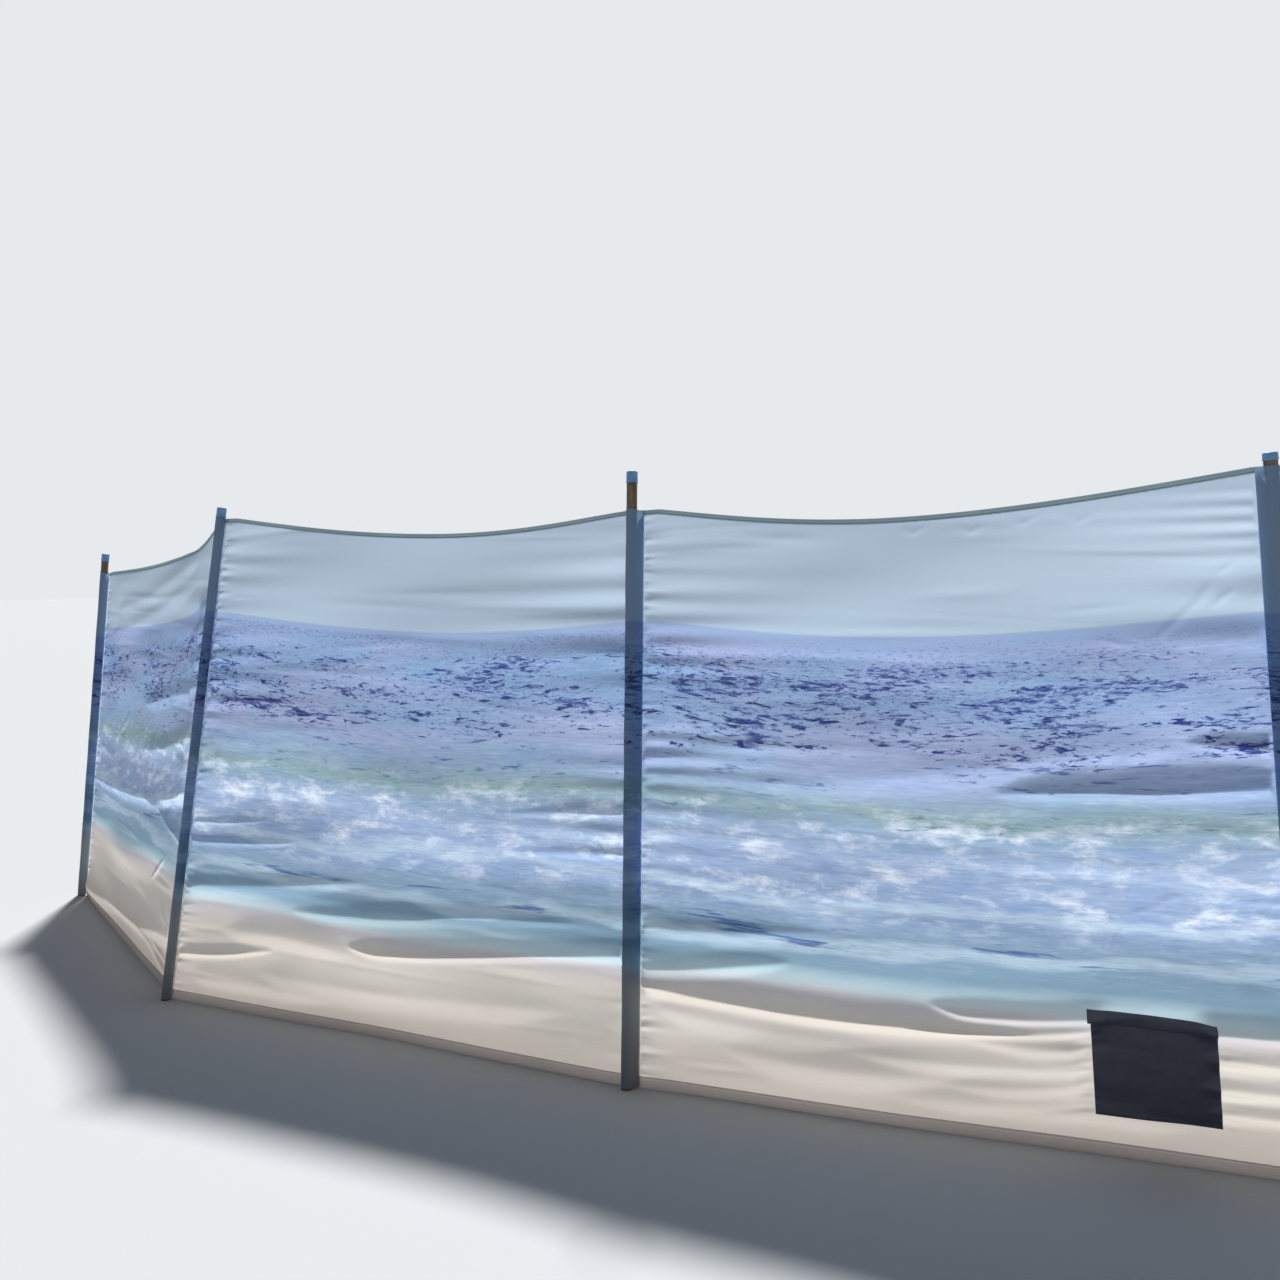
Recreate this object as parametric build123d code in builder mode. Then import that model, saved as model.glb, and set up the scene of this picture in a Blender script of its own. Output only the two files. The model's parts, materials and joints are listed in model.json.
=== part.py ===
# Beach windbreak: a strip of cloth in five bays, held up by six leaning poles in tucked sleeves.
# Millimetres. +X runs along the middle bay, +Y points to the sheltered side, +Z up.
# The sleeves are on the windward side, towards -Y. The origin is the foot of the third pole.
from build123d import *
from math import cos, pi, radians, sin, tan
import os

# Layout on the ground, pole to pole
middle_bay_span = 1460.0
side_bay_span = 1507.0
end_bay_span = 1471.0
side_bay_turn = 5.7  # degrees that a side bay turns back from the middle one
end_bay_turn = 36.5
origin_pole = 2  # counted from 0

# Poles
pole_diameter = 26.0
pole_end_chamfer = 2.0
pole_leans_x = [5.6, 4.1, -1.4, -4.4, -3.1, -5.0]  # degrees towards +X
pole_leans_y = [2.2, 7.3, 6.8, -2.2, 5.0, 2.0]  # degrees towards +Y
bare_wood = [42.0, 1.5, 66.0, 10.0, 24.0, 55.0]  # pole that shows between sleeve and cap

# Pole caps
cap_heights = [28.0, 28.0, 28.0, 15.0, 28.0, 28.0]
cap_wall = 1.0
cap_roof = 2.0
cap_edge = 0.5  # broken edge round the top
cap_clearance = 0.2

# Cloth
cloth_height = 1400.0
cloth_slips = [-147.0, 12.0, -15.0, 15.0, 5.0, -60.0]  # how far its top has slipped up or down each pole
ground_clearance = 3.0  # hem and sleeves stop this far above the sand
cloth_thickness = 1.0
top_sags = [58.0, 52.0, 54.0, 46.0, 54.0]  # how far each top edge droops below a straight line
lowest_points = [0.76, 0.55, 0.45, 0.45, 0.3]  # where along each bay it droops most, from 0 to 1
held_share = 0.03  # of a bay's length, beside each seam, where the top edge stays up
soft_clearance = 0.3  # between cloth pieces that lie on each other
cloth_stations = 12  # sections along a bay's cloth and binding
hem_stations = 9

# Main level folds of each bay's cloth, from the lowest up, which come out to the windward side: where along
# the bay a fold starts and ends, from 0 to 1, the height of its edge there, and its depth
main_folds = [
    [(0.03, 0.97, 72.0, 168.0, 22.0), (0.03, 0.97, 468.0, 598.0, 45.0)],
    [(0.03, 0.25, 132.0, 165.0, 14.0), (0.41, 0.97, 222.0, 304.0, 20.0), (0.03, 0.45, 330.0, 398.0, 20.0)],
    [(0.03, 0.69, 238.0, 245.0, 22.0), (0.03, 0.34, 377.0, 405.0, 15.0), (0.58, 0.97, 742.0, 795.0, 32.0)],
    [(0.46, 0.97, 160.0, 175.0, 18.0), (0.03, 0.65, 298.0, 270.0, 20.0), (0.36, 0.97, 446.0, 462.0, 24.0),
     (0.03, 0.52, 686.0, 642.0, 16.0)],
    [(0.03, 0.97, 290.0, 165.0, 22.0), (0.03, 0.97, 612.0, 497.0, 28.0)],
]
fold_fade = 0.08  # of a bay's length, over which a fold's ends die out
fold_trace = 0.1  # depth that is left of a fold where it has died out
fold_rise = 1.9  # from a fold's edge up to where the cloth starts to come out, in fold depths
fold_return = 1.3  # from a fold's edge down to where the cloth is back, in fold depths

# Sleeves
sleeve_clearance = 0.5  # between pole and sleeve
sleeve_slack = 27.0  # from the pole's centre line to the sleeve's flat side
slack_sides = [1, -1, 1, -1, 1, -1]  # which side of each pole the flat side is on, 1 for the right
fold_radius = 1.2  # roundness of the flat side's edge

# Top binding, a tape folded over the cloth, and bottom hem, the cloth turned up twice and sewn flat
tape_thickness = 0.6
binding_height = 11.0
hem_height = 28.0
hem_thickness = 2.4

# Label patch
patch_bay = 2  # counted from 0
patch_start = 1024.0  # along the bay, from the sleeve seam on its left
patch_width = 243.0
patch_bottom = 85.0  # above the cloth's bottom edge
patch_height = 214.0
patch_thickness = 0.8
patch_fold_height = 28.0
patch_fold_thickness = 2.0
patch_lip = 1.0  # height over which the fold steps out

# Worked out from the sizes above, from the left end as seen from the windward side
bay_spans = [end_bay_span, side_bay_span, middle_bay_span, side_bay_span, end_bay_span]
bay_headings = [-end_bay_turn, -side_bay_turn, 0.0, side_bay_turn, end_bay_turn]
cloth_tops = [cloth_height + slip for slip in cloth_slips]
pole_count = len(bay_spans) + 1
pole_radius = pole_diameter / 2
sleeve_inner_radius = pole_radius + sleeve_clearance
sleeve_outer_radius = sleeve_inner_radius + cloth_thickness
slot_width = cloth_thickness + 2 * soft_clearance
binding_width = slot_width + 2 * tape_thickness
patch_top = patch_bottom + patch_height
patch_step = patch_top - patch_fold_height
cloth_offset = sleeve_outer_radius + soft_clearance + binding_width / 2  # cloth behind the pole's centre


def bay_vector(bay):
    heading = radians(bay_headings[bay])
    return Vector(cos(heading), sin(heading), 0) * bay_spans[bay]


def pole_feet():
    feet = {origin_pole: Vector(0, 0, 0)}
    for bay in range(origin_pole, pole_count - 1):
        feet[bay + 1] = feet[bay] + bay_vector(bay)
    for bay in reversed(range(origin_pole)):
        feet[bay] = feet[bay + 1] - bay_vector(bay)
    return feet


pole_foot = pole_feet()


def pole_plane(pole):
    """Plane at a pole's foot: z up the pole, x along the cloth, y to the sheltered side."""
    lean = Vector(tan(radians(pole_leans_x[pole])), tan(radians(pole_leans_y[pole])), 1).normalized()
    beside = [bay for bay in (pole - 1, pole) if 0 <= bay < len(bay_spans)]
    heading = radians(sum(bay_headings[bay] for bay in beside) / len(beside))
    along = Vector(cos(heading), sin(heading), 0)
    along = (along - lean * along.dot(lean)).normalized()
    return Plane(origin=pole_foot[pole], x_dir=along, z_dir=lean)


def seam_place(pole):
    """The seam, along from the pole's centre: at the flat side's edge, or behind the pole."""
    side = -1 if pole == pole_count - 1 else 1
    return side * sleeve_slack if side == slack_sides[pole] else 0


def seam_bottom(pole, gap):
    """The seam's lowest point, with the cloth's end set back from it by gap."""
    plane = pole_plane(pole)
    start = plane.from_local_coords(Vector(seam_place(pole) + gap, cloth_offset, 0))
    return start + plane.z_dir * ((ground_clearance - start.Z) / plane.z_dir.Z)


def seam_top(pole, gap):
    return pole_plane(pole).from_local_coords(Vector(seam_place(pole) + gap, cloth_offset, cloth_tops[pole]))


def top_droop(bay, t):
    """How far the top edge hangs below a straight line, t of the way along the bay."""
    lowest = lowest_points[bay]
    rise = min((t - held_share) / (lowest - held_share), (1 - held_share - t) / (1 - held_share - lowest))
    return top_sags[bay] * sin(pi / 2 * max(rise, 0))


def bay_station(bay, t):
    """Section plane through a bay's cloth (x across it, y up it) and the cloth's height there."""
    half_gap = soft_clearance / 2
    bottom = seam_bottom(bay, half_gap) * (1 - t) + seam_bottom(bay + 1, -half_gap) * t
    top = seam_top(bay, half_gap) * (1 - t) + seam_top(bay + 1, -half_gap) * t
    up = (top - bottom).normalized()
    across = pole_plane(bay).y_dir * (1 - t) + pole_plane(bay + 1).y_dir * t
    along = across.cross(up).normalized()
    plane = Plane(origin=bottom, x_dir=up.cross(along), z_dir=along)
    return plane, (top - bottom).length - top_droop(bay, t)


def outline_face(corners):
    """Flat face inside straight lines from corner to corner, always drawn from the same corner."""
    with BuildSketch(mode=Mode.PRIVATE) as section:
        with BuildLine():
            Polyline(*corners, close=True)
        make_face()
    return section.sketch


def teardrop(radius, tip_radius, tip_x, tip_y):
    """A round end of the given radius drawn out to a small rounded tip."""
    with BuildSketch(mode=Mode.PRIVATE) as outline:
        Circle(radius)
        with Locations((tip_x, tip_y)):
            Circle(tip_radius)
        make_hull()
    return outline.sketch


def finish(piece, label):
    piece.part.label = label
    export_step(piece.part, f"parts/{label}.step")


def make_pole(pole):
    plane = pole_plane(pole)
    length = cloth_tops[pole] + bare_wood[pole] + cap_heights[pole] - cap_roof
    with BuildPart() as wood:
        with BuildSketch(plane.offset(-pole_diameter)):
            Circle(pole_radius)
        extrude(amount=length + pole_diameter)
        top_edge = wood.edges().filter_by(GeomType.CIRCLE).sort_by(Axis.Z)[-1]
        chamfer(top_edge, pole_end_chamfer)
        split(bisect_by=Plane.XY, keep=Keep.TOP)
    finish(wood, f"pole_{pole + 1}")


def make_cap(pole):
    rim = pole_plane(pole).offset(cloth_tops[pole] + bare_wood[pole])
    bore_radius = pole_radius + cap_clearance
    with BuildPart() as cap:
        with BuildSketch(rim):
            Circle(bore_radius + cap_wall)
        extrude(amount=cap_heights[pole])
        chamfer(cap.edges().filter_by(GeomType.CIRCLE).sort_by(Axis.Z)[-1], cap_edge)
        with BuildSketch(rim):
            Circle(bore_radius)
        extrude(amount=cap_heights[pole] - cap_roof, mode=Mode.SUBTRACT)
    finish(cap, f"cap_{pole + 1}")


def make_sleeve(pole):
    plane = pole_plane(pole)
    tip_x = slack_sides[pole] * (sleeve_slack - fold_radius)
    tip_y = sleeve_outer_radius - fold_radius
    inner_tip = fold_radius - cloth_thickness
    with BuildPart() as sleeve:
        with BuildSketch(plane.offset(-pole_diameter)):
            add(teardrop(sleeve_outer_radius, fold_radius, tip_x, tip_y))
            add(teardrop(sleeve_inner_radius, inner_tip, tip_x, tip_y), mode=Mode.SUBTRACT)
        extrude(amount=cloth_tops[pole] + pole_diameter)
        split(bisect_by=Plane.XY.offset(ground_clearance), keep=Keep.TOP)
    finish(sleeve, f"sleeve_{pole + 1}")


def loft_along(bay, distances, section, label):
    """Loft straight from section to section, each drawn where the bay's cloth is at that distance."""
    with BuildPart() as piece:
        for distance in distances:
            plane, height = bay_station(bay, distance)
            with BuildSketch(plane):
                add(section(height))
        loft(ruled=True)
    finish(piece, label)


def spread(count):
    """Places along a bay from 0 to 1, closer together beside the seams."""
    return [(1 - cos(pi * step / (count - 1))) / 2 for step in range(count)]


def strip_section(thickness, bottom, top):
    edge = thickness / 2
    return outline_face([(-edge, bottom), (edge, bottom), (edge, top), (-edge, top)])


def with_points(line, heights):
    """The line with a point on it at each of the given heights too."""
    for y in heights:
        place = next(number for number, point in enumerate(line) if point[1] > y)
        (x0, y0), (x1, y1) = line[place - 1:place + 1]
        line.insert(place, (x0 + (x1 - x0) * (y - y0) / (y1 - y0), y))
    return line


def cloth_line(bay, t, height):
    """Middle line of the cloth's section: it stands on its hem, folds out and ends inside the binding."""
    line = [(0, hem_height + soft_clearance)]
    for start, end, start_height, end_height, depth in main_folds[bay]:
        along = max(0, min(1, (t - start) / (end - start)))
        edge = start_height + (end_height - start_height) * along
        out = depth * min((t - start) / fold_fade, (end - t) / fold_fade, 1)
        line += [(0, edge - fold_return * depth), (-max(out, fold_trace), edge), (0, edge + fold_rise * depth)]
    line.append((0, height - tape_thickness - soft_clearance))
    if bay == patch_bay:
        line = with_points(line, [patch_bottom, patch_step - patch_lip, patch_step, patch_top])
    return line


def hem_section(height):
    return strip_section(hem_thickness, 0, hem_height)


def binding_section(height):
    outer = binding_width / 2
    slot = slot_width / 2
    rim = height - binding_height
    inside = height - tape_thickness
    return outline_face([(-outer, height), (outer, height), (outer, rim), (slot, rim),
                         (slot, inside), (-slot, inside), (-slot, rim), (-outer, rim)])


def facets(sheet):
    """Flat triangles between the neighbouring lines of points of a sheet."""
    for line, following in zip(sheet, sheet[1:]):
        for a, b, c, d in zip(line, line[1:], following[1:], following):
            yield Face(Wire.make_polygon([a, b, c]))
            yield Face(Wire.make_polygon([a, c, d]))


def sheet_along(bay, distances, section_lines, label):
    """A thin sheet that bends only along straight creases, between the front and back line of each section."""
    front, back = [], []
    for distance in distances:
        plane, height = bay_station(bay, distance)
        for side, line in zip((front, back), section_lines(bay, distance, height)):
            side.append([plane.from_local_coords(Vector(x, y, 0)) for x, y in line])
    borders = [list(zip(front[place], back[place])) for place in (0, -1)]
    borders += [[(ahead[place], behind[place]) for ahead, behind in zip(front, back)] for place in (0, -1)]
    with BuildPart() as piece:
        add(Solid(Shell([face for sheet in [front, back] + borders for face in facets(sheet)])))
    finish(piece, label)


def cloth_faces(bay, t, height):
    half = cloth_thickness / 2
    return [[(x + side, y) for x, y in cloth_line(bay, t, height)] for side in (-half, half)]


def patch_faces(bay, t, height):
    """The patch lies on the windward face, with its top edge rolled over."""
    line = [(x, y) for x, y in cloth_line(bay, t, height) if patch_bottom <= y <= patch_top]
    back = [(x - cloth_thickness / 2 - soft_clearance, y) for x, y in line]
    front = [(x - (patch_thickness if y < patch_step else patch_fold_thickness), y) for x, y in back]
    return front, back


def patch_sides():
    seam_to_seam = (seam_bottom(patch_bay + 1, 0) - seam_bottom(patch_bay, 0)).length
    return [patch_start / seam_to_seam, (patch_start + patch_width) / seam_to_seam]


def cloth_places(bay):
    """Where a bay's cloth has its sections, those at the patch's sides too."""
    return sorted(spread(cloth_stations) + (patch_sides() if bay == patch_bay else []))


def make_bay(bay):
    sheet_along(bay, cloth_places(bay), cloth_faces, f"cloth_bay_{bay + 1}")
    loft_along(bay, spread(cloth_stations), binding_section, f"top_binding_{bay + 1}")
    loft_along(bay, spread(hem_stations), hem_section, f"hem_{bay + 1}")


def make_label_patch():
    left, right = patch_sides()
    distances = [t for t in cloth_places(patch_bay) if left <= t <= right]
    sheet_along(patch_bay, distances, patch_faces, "label_patch")


os.makedirs("parts", exist_ok=True)
for pole_number in range(pole_count):
    make_pole(pole_number)
    make_cap(pole_number)
    make_sleeve(pole_number)
for bay_number in range(len(bay_spans)):
    make_bay(bay_number)
make_label_patch()
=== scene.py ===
import json
import math
from functools import partial

import bpy
import numpy as np
from bpy.props import FloatProperty, FloatVectorProperty, PointerProperty
from mathutils import Matrix, Vector


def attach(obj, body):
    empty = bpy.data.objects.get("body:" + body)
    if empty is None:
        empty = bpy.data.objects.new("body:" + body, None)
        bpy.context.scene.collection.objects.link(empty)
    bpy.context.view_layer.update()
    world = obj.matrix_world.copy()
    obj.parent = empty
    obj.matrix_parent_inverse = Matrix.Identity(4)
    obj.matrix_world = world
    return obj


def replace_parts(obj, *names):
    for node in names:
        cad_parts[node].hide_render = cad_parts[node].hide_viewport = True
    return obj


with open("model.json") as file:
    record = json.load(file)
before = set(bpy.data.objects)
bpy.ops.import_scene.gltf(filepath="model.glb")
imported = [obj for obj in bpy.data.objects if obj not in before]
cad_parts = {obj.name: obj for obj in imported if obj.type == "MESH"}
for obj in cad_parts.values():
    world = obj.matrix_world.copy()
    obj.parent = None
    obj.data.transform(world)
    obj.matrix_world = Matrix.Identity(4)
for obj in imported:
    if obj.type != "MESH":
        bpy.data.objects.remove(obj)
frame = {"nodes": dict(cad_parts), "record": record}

bl_info = {
    "name": "Beach windbreak",
    "version": (1, 0, 0),
    "blender": (4, 5, 0),
    "location": "3D View > Sidebar > Windbreak",
    "description": "Dresses a cloth beach windbreak: printed panels, pole sleeves, tape, hems, caps and poles",
    "category": "Object",
}

MM = 0.001
CLOTH_UV = "cloth_metres"

# Poles, numbered from the left end as seen from the windward side, as in the solid model
FEET = [Vector(mount["pos_m"]) for mount in frame["record"]["mounts"]]
POLES = range(len(FEET))
BAYS = range(len(FEET) - 1)
LEANS_ALONG = (5.6, 4.1, -1.4, -4.4, -3.1, -5.0)  # degrees
LEANS_BACK = (2.2, 7.3, 6.8, -2.2, 5.0, 2.0)  # degrees
CLOTH_TOPS = (1253, 1412, 1385, 1415, 1405, 1340)  # millimetres up the pole, as are the next two rows
BARE_WOOD = (42, 1.5, 66, 10, 24, 55)  # above the cloth
CAP_HEIGHTS = (28, 28, 28, 15, 28, 28)
SLACK_SIDES = (1, -1, 1, -1, 1, -1)  # the sleeve hangs slack to the right (1) or the left (-1)

# Cloth, as in the solid model
CLOTH_HEIGHT = 1400 * MM
CLOTH_BACK = 15.6 * MM  # cloth behind the pole's centre line
GROUND_GAP = 3 * MM
TOP_SAGS = (58, 52, 54, 46, 54)  # millimetres
LOWEST_POINTS = (0.76, 0.55, 0.45, 0.45, 0.3)  # of each sagging edge, as a share of the bay's width
HELD_SHARE = 0.03  # of its width, beside each seam, where the top edge doesn't sag
HEM_HEIGHT = 28 * MM
BINDING_HEIGHT = 11 * MM
SLEEVE_REACH = 27 * MM  # pole's centre line to the flat side's edge
SLEEVE_RADIUS = 13.9 * MM
SEAM_BESIDE_POLE = 11 * MM  # where the pole is pushed up against the seam
PATCH = {"bay": 2, "start": 1051 * MM, "width": 243 * MM, "bottom": 85 * MM, "height": 214 * MM}

# Seeds and counts of the cloth's unevenness
BAY_SEED, SLEEVE_SEED, PATCH_SEED = 40, 90, 7
SOFT_WAVES, DRAG_LINES, SLEEVE_CREASES = 20, 70, 46
PATCH_GATHERS = (13, 12)  # beside its left and right seams

# Lengths over which the cloth's unevenness dies out: waves and drag lines beside a seam, folds at a seam,
# and the lower and upper ends of a group of ripples and of an upright roll
SEAM_HOLD, SEAM_FADE = 0.10, 14 * MM
RIPPLE_FADE, ROLL_FADE = 0.08, 0.14

BAY_BELLY = 5 * MM  # how far the wind pushes a bay's middle back
EDGE_STEP = 5.5 * MM  # rows of the sleeves' mesh, columns of the tape's and hems'

# Level folds of each bay's cloth: points of the fold's lower edge (metres from the left pole's foot, metres
# up), its depth in millimetres, how softly it starts (0 a crisp bend, 1 a round belly) and how far its ends
# take to die out, in metres. Two more numbers are how far it reaches above and below its edge, in
# millimetres, where that isn't FOLD_RISE and FOLD_RETURN depths.
FOLD_RISE = 1.9
FOLD_RETURN = 1.3
CRISP_FOLD = 0.3  # folds less soft than this end like an eye's corners
FOLDS = {
    0: [
        ([(0.03, 0.052), (0.30, 0.068), (0.56, 0.090), (0.97, 0.122), (1.27, 0.146), (1.44, 0.160)],
         24, 0.5, 0.10, 0.05, 90, 40),
        ([(0.05, 0.474), (0.30, 0.480), (0.60, 0.490), (0.92, 0.510), (1.20, 0.545), (1.42, 0.590)],
         30, 0.4, 0.12, 0.06, 90, 32),
        ([(0.94, 0.530), (1.10, 0.500), (1.23, 0.468), (1.42, 0.430)], 18, 0.2, 0.16, 0.05),
        ([(0.67, 0.79), (1.02, 0.84), (1.42, 0.905)], 13, 0.5, 0.20, 0.08, 45, 28),
        ([(0.73, 0.645), (1.08, 0.69), (1.42, 0.755)], 15, 0.5, 0.20, 0.08, 45, 28),
        ([(0.20, 1.105), (0.6, 1.155), (0.9, 1.21), (1.25, 1.29)], 8, 0.9, 0.20, 0.15, 40, 30),
        ([(0.12, 1.01), (0.5, 1.065), (0.85, 1.13), (1.25, 1.215)], 6, 0.9, 0.16, 0.15, 40, 30),
        ([(0.25, 0.30), (0.70, 0.285), (1.20, 0.33)], 6, 1.0, 0.25, 0.25, 70, 60),
    ],
    1: [
        ([(0.0, 0.514), (0.14, 0.522), (0.30, 0.538)], 6, 0.2, 0.02, 0.16),
        ([(0.0, 0.458), (0.2, 0.468), (0.42, 0.483)], 8, 0.2, 0.02, 0.20),
        ([(0.0, 0.327), (0.35, 0.358), (0.72, 0.402)], 16, 0.3, 0.05, 0.30, 34, 30),
        ([(0.42, 0.296), (0.65, 0.307), (0.80, 0.321), (1.05, 0.345), (1.35, 0.362)],
         15, 0.25, 0.42, 0.55, 34, 26),
        ([(0.0, 0.132), (0.19, 0.152), (0.37, 0.180)], 14, 0.12, 0.06, 0.20, 27, 12),
        ([(0.64, 0.226), (0.74, 0.221), (0.81, 0.226), (1.14, 0.262), (1.53, 0.308)],
         19, 0.2, 0.16, 0.05, 38, 16),
        ([(1.05, 0.610), (1.25, 0.625), (1.53, 0.650)], 6, 0.6, 0.25, 0.03),
        ([(1.10, 0.520), (1.30, 0.530), (1.53, 0.545)], 6, 0.6, 0.22, 0.03),
        ([(0.15, 0.215), (0.45, 0.222), (0.70, 0.200)], 12, 0.8, 0.16, 0.20, 45, 30),
        ([(0.30, 0.120), (0.62, 0.112), (1.00, 0.130), (1.35, 0.150)], 13, 0.9, 0.20, 0.25, 60, 40),
        ([(0.05, 0.078), (0.30, 0.082), (0.60, 0.066)], 8, 0.9, 0.10, 0.20, 34, 22),
    ],
    2: [
        ([(0.88, 0.741), (0.99, 0.751), (1.09, 0.761), (1.21, 0.767), (1.32, 0.778), (1.48, 0.797)],
         33, 0.04, 0.22, 0.15, 50, 21),
        ([(1.27, 0.867), (1.37, 0.866), (1.48, 0.870)], 20, 0.08, 0.10, 0.04, 28, 17),
        ([(0.25, 0.722), (0.50, 0.747), (0.68, 0.768), (0.90, 0.803), (1.10, 0.838), (1.30, 0.858)],
         16, 0.8, 0.26, 0.22, 56, 36),
        ([(0.0, 0.776), (0.22, 0.803), (0.46, 0.828)], 7, 0.7, 0.03, 0.26, 24, 22),
        ([(0.0, 0.377), (0.22, 0.381), (0.35, 0.394), (0.54, 0.407)], 14, 0.5, 0.06, 0.26, 30, 30),
        ([(0.0, 0.286), (0.14, 0.290), (0.29, 0.310), (0.40, 0.328)], 16, 0.15, 0.03, 0.17, 36, 22),
        ([(0.0, 0.246), (0.18, 0.234), (0.32, 0.225), (0.47, 0.219), (0.65, 0.223), (0.81, 0.226),
          (0.98, 0.236)], 27, 0.3, 0.06, 0.34, 48, 23),
        ([(0.66, 0.221), (0.81, 0.227), (0.96, 0.240), (1.07, 0.262)], 9, 0.15, 0.20, 0.07, 18, 14),
        ([(1.22, 0.284), (1.35, 0.290), (1.50, 0.297)], 24, 0.12, 0.07, 0.03, 40, 17),
        ([(1.24, 0.224), (1.36, 0.229), (1.50, 0.236)], 10, 0.4, 0.07, 0.03, 24, 18),
        ([(1.24, 0.166), (1.36, 0.171), (1.50, 0.178)], 10, 0.4, 0.07, 0.03, 24, 18),
        ([(1.24, 0.115), (1.36, 0.119), (1.50, 0.126)], 9, 0.4, 0.07, 0.03, 22, 17),
        ([(0.715, 0.272), (0.78, 0.261), (0.86, 0.262), (1.06, 0.283), (1.16, 0.298)],
         19, 0.1, 0.13, 0.09, 38, 12),
        ([(0.05, 0.196), (0.30, 0.176), (0.58, 0.168)], 9, 0.9, 0.12, 0.22, 40, 30),
        ([(0.22, 0.118), (0.48, 0.106), (0.80, 0.118)], 12, 0.9, 0.18, 0.25, 46, 36),
        ([(0.52, 0.148), (0.76, 0.150), (1.04, 0.176)], 10, 0.7, 0.22, 0.03, 30, 22),
        ([(0.76, 0.206), (0.92, 0.205), (1.04, 0.212)], 7, 0.6, 0.16, 0.03, 20, 16),
        ([(0.72, 0.104), (0.90, 0.118), (1.04, 0.138)], 8, 0.7, 0.18, 0.03, 24, 18),
        ([(0.60, 0.066), (0.90, 0.078), (1.06, 0.086), (1.25, 0.076)], 6, 0.9, 0.20, 0.12, 26, 20),
    ],
    3: [
        ([(0.0, 0.690), (0.25, 0.672), (0.55, 0.650), (0.82, 0.640)], 16, 0.4, 0.06, 0.22),
        ([(0.53, 0.452), (0.85, 0.440), (1.15, 0.445), (1.53, 0.462)], 25, 0.15, 0.30, 0.12),
        ([(0.0, 0.298), (0.30, 0.280), (0.70, 0.265), (1.02, 0.270)], 20, 0.4, 0.06, 0.24),
        ([(0.68, 0.165), (1.00, 0.152), (1.25, 0.162), (1.53, 0.176)], 18, 0.2, 0.24, 0.10),
        ([(1.10, 0.80), (1.30, 0.815), (1.53, 0.84)], 8, 0.6, 0.22, 0.03),
        ([(0.0, 0.540), (0.20, 0.530), (0.38, 0.528)], 8, 0.2, 0.03, 0.16),
        ([(0.10, 0.115), (0.40, 0.105), (0.75, 0.120)], 7, 1.0, 0.15, 0.25, 55, 40),
    ],
    4: [
        ([(0.03, 0.612), (0.35, 0.560), (0.75, 0.525), (1.15, 0.505), (1.44, 0.495)], 30, 0.5, 0.10, 0.08),
        ([(0.03, 0.290), (0.25, 0.245), (0.62, 0.205), (1.0, 0.178), (1.44, 0.163)], 24, 0.4, 0.08, 0.06),
        ([(0.0, 0.86), (0.35, 0.80), (0.82, 0.765)], 10, 0.5, 0.04, 0.25),
        ([(0.10, 1.22), (0.45, 1.15), (0.85, 1.10), (1.2, 1.07)], 8, 0.9, 0.15, 0.18, 40, 30),
        ([(0.74, 0.360), (1.05, 0.345), (1.44, 0.350)], 13, 0.2, 0.24, 0.06),
    ],
}

# How much higher the print hangs at the left and right ends of a bay whose cloth bags, in metres
PRINT_LIFTS = {0: (0.035, 0.062)}

# Single sharp wrinkles: bay, ends (metres), half width and height in millimetres
WRINKLES = [
    (0, (1.04, 0.262), (1.20, 0.357), 7, 9),
    (0, (1.22, 0.235), (1.36, 0.190), 9, 5),
    (0, (0.98, 0.125), (1.37, 0.030), 15, 7),
    (0, (1.18, 0.108), (1.40, 0.055), 10, 6),
    (0, (0.30, 0.620), (0.50, 0.740), 14, 4),
    (2, (1.298, 1.135), (1.342, 1.195), 6, 2.6),
    (2, (1.332, 1.137), (1.382, 1.179), 6, 2.4),
    (2, (1.345, 1.203), (1.390, 1.233), 6, 2.0),
    (2, (1.145, 0.510), (1.190, 0.530), 6, 2.6),
    (2, (1.184, 0.524), (1.236, 0.558), 6, 2.6),
    (2, (1.178, 0.522), (1.250, 0.512), 6, 1.6),
    (2, (1.200, 1.060), (1.290, 1.035), 7, 1.8),
    (2, (1.105, 1.076), (1.190, 1.056), 5, 2.2),
    (2, (1.222, 1.070), (1.322, 1.162), 7, 2.6),
    (2, (0.697, 1.316), (0.732, 1.294), 5, 1.8),
    (2, (0.719, 1.294), (0.756, 1.317), 5, 1.8),
    (2, (0.829, 1.315), (0.863, 1.293), 5, 2.0),
    (2, (0.850, 1.293), (0.886, 1.315), 5, 2.0),
    (2, (0.946, 1.330), (0.978, 1.308), 5, 2.2),
    (2, (0.966, 1.309), (1.001, 1.330), 5, 2.2),
    (2, (1.064, 1.331), (1.095, 1.309), 5, 1.8),
    (2, (1.083, 1.310), (1.116, 1.331), 5, 1.8),
    (1, (0.93, 0.985), (0.99, 1.005), 7, 2.0),
    (3, (0.28, 1.150), (0.33, 1.110), 7, 2.4),
    (3, (1.10, 0.690), (1.17, 0.712), 7, 2.4),
    (4, (0.25, 0.300), (0.08, 0.380), 9, 7),
    (4, (0.40, 0.120), (0.10, 0.045), 13, 6),
]

# Upright rolls of slack cloth beside a seam: bay, end (0 left, 1 right), distance and half width in metres,
# depth in millimetres, from and to height
SEAM_ROLLS = [
    (0, 1, 0.115, 0.050, 16, 0.60, 1.24),
    (4, 0, 0.110, 0.055, 12, 0.62, 1.20),
]

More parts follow.
